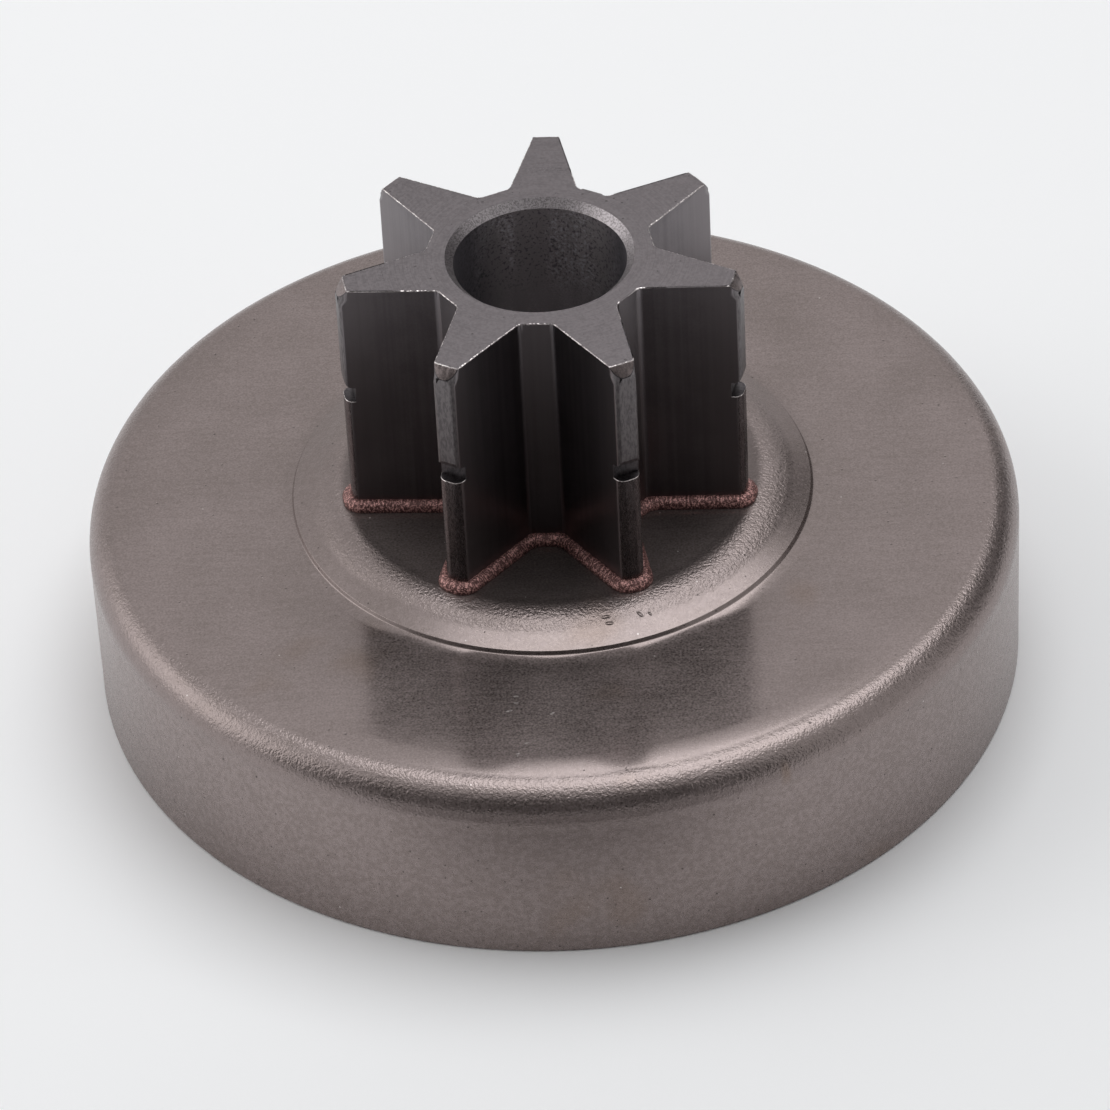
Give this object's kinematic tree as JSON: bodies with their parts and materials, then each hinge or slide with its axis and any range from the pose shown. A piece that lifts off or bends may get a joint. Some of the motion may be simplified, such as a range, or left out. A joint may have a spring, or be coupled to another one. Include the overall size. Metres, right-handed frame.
{
  "type": "chainsaw clutch drum",
  "caption": "Deep-drawn steel clutch cup, open below, with a raised boss and a spur chain sprocket brazed upright on its face by a copper bead; through bore on the axis.",
  "frame": {"origin": "on the axis of rotation, in the plane of the drum's open rim", "axes": "+Z along the bore, from the open rim towards the sprocket's free end; the whole part turns about Z; -Y faces the picture's camera"},
  "size_m": [0.077, 0.077, 0.0405],
  "materials": {
    "drum_steel": "satin blasted steel with fine pits",
    "sprocket_steel": "dark machined steel",
    "braze_copper": "matt copper braze"
  },
  "bodies": {
    "root": {"drum_cup": "drum_steel", "spur_sprocket": "sprocket_steel", "braze_bead": "braze_copper"}
  },
  "joints": []
}
